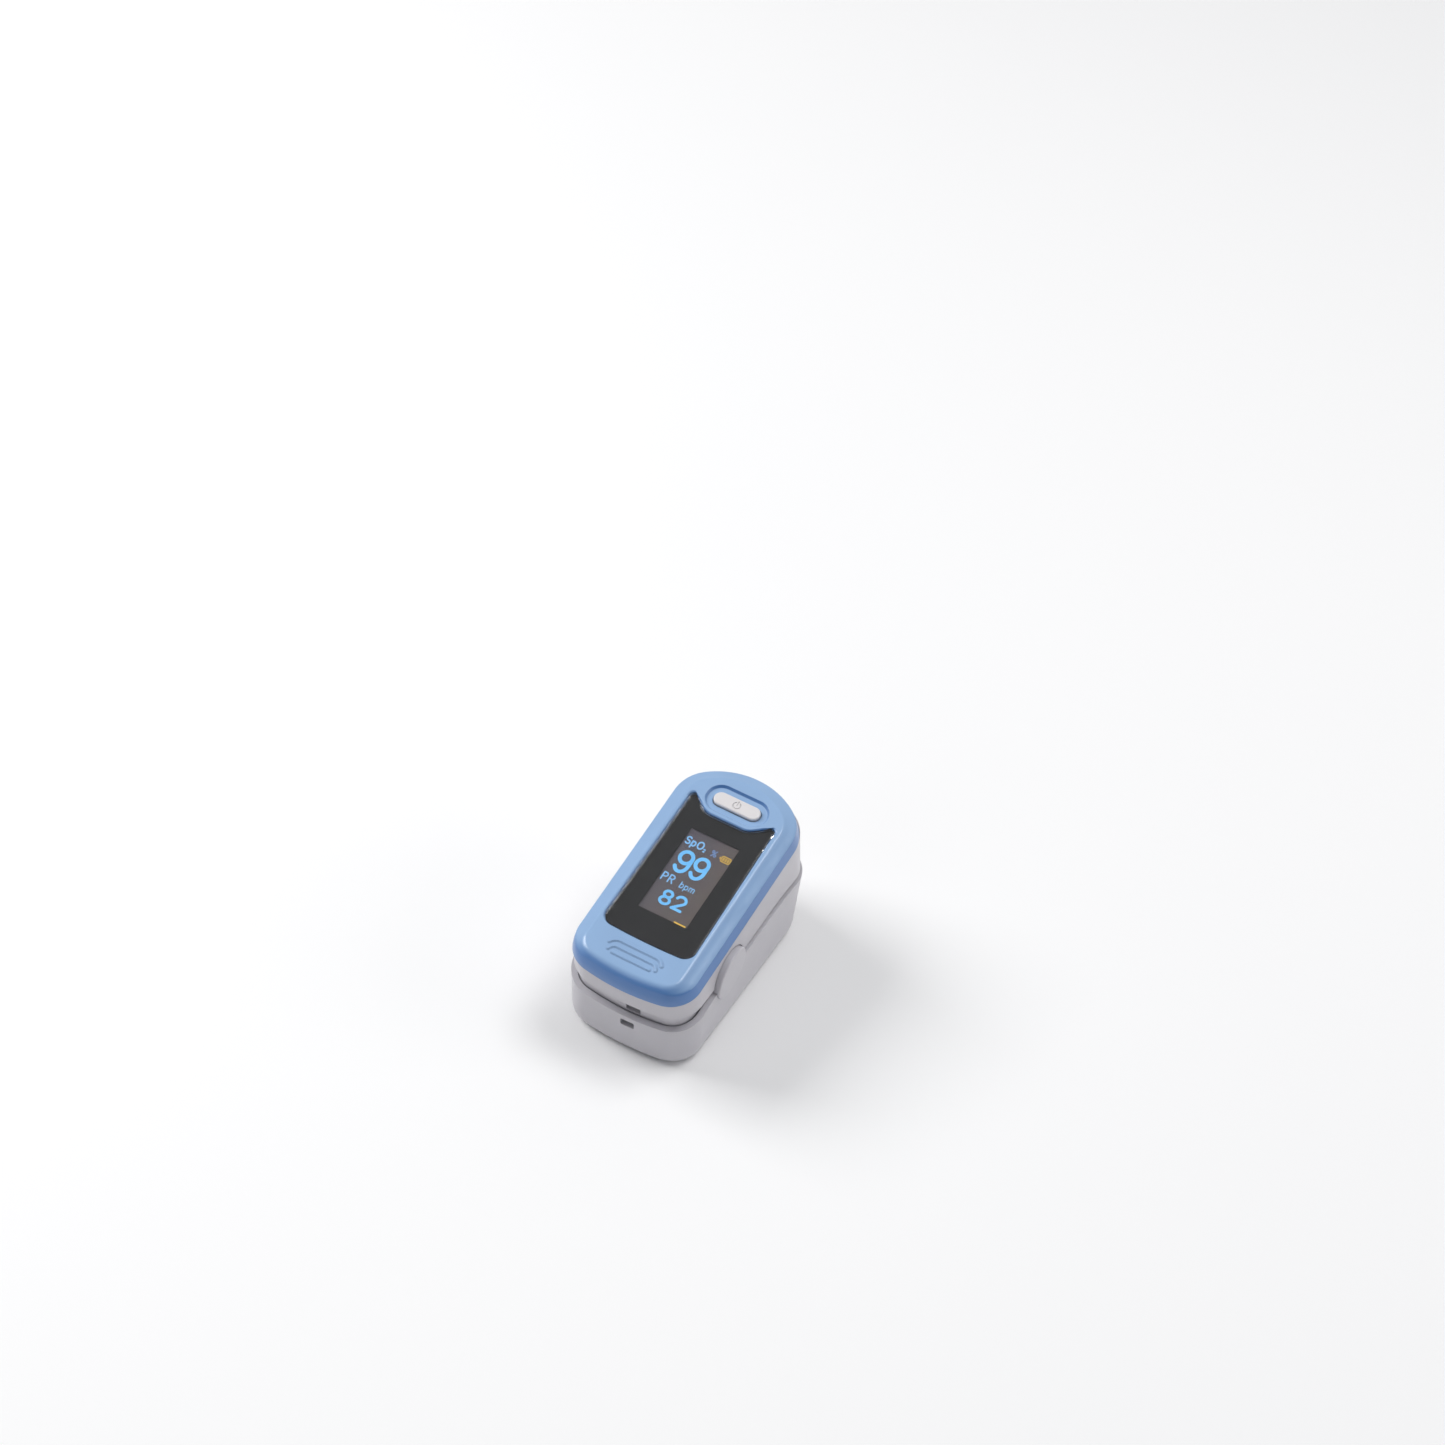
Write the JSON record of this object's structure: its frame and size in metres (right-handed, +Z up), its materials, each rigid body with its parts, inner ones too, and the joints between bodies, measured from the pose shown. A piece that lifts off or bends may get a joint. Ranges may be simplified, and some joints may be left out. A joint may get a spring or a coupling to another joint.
{
  "type": "fingertip pulse oximeter",
  "caption": "Spring-clip pulse oximeter for a fingertip: hinged upper and lower jaws, window display, power button, finger channel and sliding battery door.",
  "frame": {"origin": "on the flat underside, below the middle of the body", "axes": "+Z up through the display, -Y towards the squeeze end, +Y towards the finger opening, X across along the hinge pin"},
  "size_m": [0.0318, 0.0585, 0.0346],
  "materials": {
    "cover_blue": "moulded, pale blue, satin gloss",
    "window_clear": "clear polished acrylic",
    "window_black": "black print on film",
    "display_glass": "grey display glass",
    "foam": "black foam",
    "flex_film": "amber film",
    "circuit_board": "green solder mask",
    "component_black": "black moulding compound",
    "button_white": "moulded, warm white",
    "shell_white": "moulded, white, fine texture",
    "frame_grey": "moulded, grey",
    "screw_steel": "zinc plated",
    "lens_clear": "clear epoxy",
    "pad_silicone": "soft silicone, matt",
    "cell_jacket": "printed sleeve, plain",
    "contact_metal": "nickel plated",
    "pin_steel": "ground steel",
    "spring_steel": "spring wire"
  },
  "bodies": {
    "lower_jaw": {"lower_housing": "shell_white", "battery_tray": "frame_grey", "lower_screws": "screw_steel", "battery_left": "cell_jacket", "battery_right": "cell_jacket", "contact_springs": "contact_metal", "contact_plates": "contact_metal", "contact_bridge": "contact_metal", "lower_finger_pad": "pad_silicone", "sensor_board": "circuit_board", "sensor_lens": "lens_clear", "hinge_pin": "pin_steel", "torsion_spring_right": "spring_steel", "torsion_spring_left": "spring_steel", "sensor_flex": "flex_film"},
    "upper_jaw": {"top_cover": "cover_blue", "display_window": "window_clear", "window_print": "window_black", "oled_panel": "display_glass", "oled_cushion": "foam", "display_flex": "flex_film", "main_board": "circuit_board", "board_components": "component_black", "tact_switch": "component_black", "upper_housing": "shell_white", "upper_frame": "frame_grey", "upper_screws": "screw_steel", "led_board": "circuit_board", "led_lens": "lens_clear", "upper_finger_pad": "pad_silicone"},
    "button": {"power_button": "button_white", "switch_plunger": "component_black"},
    "door": {"battery_door": "shell_white"}
  },
  "joints": [
    {"name": "jaw_hinge", "type": "hinge", "parent": "lower_jaw", "child": "upper_jaw", "pos_m": [0, -0.0097, 0.0165], "axis": [1, 0, 0], "range_deg": [0, 12], "deforming": ["torsion_spring_right", "torsion_spring_left", "sensor_flex"]},
    {"name": "button_press", "type": "slide", "parent": "upper_jaw", "child": "button", "axis": [0, 0.1616, -0.9869], "range_m": [0, 0.0003]},
    {"name": "door_slide", "type": "slide", "parent": "lower_jaw", "child": "door", "axis": [0, 1, 0], "range_m": [0, 0.05]}
  ]
}
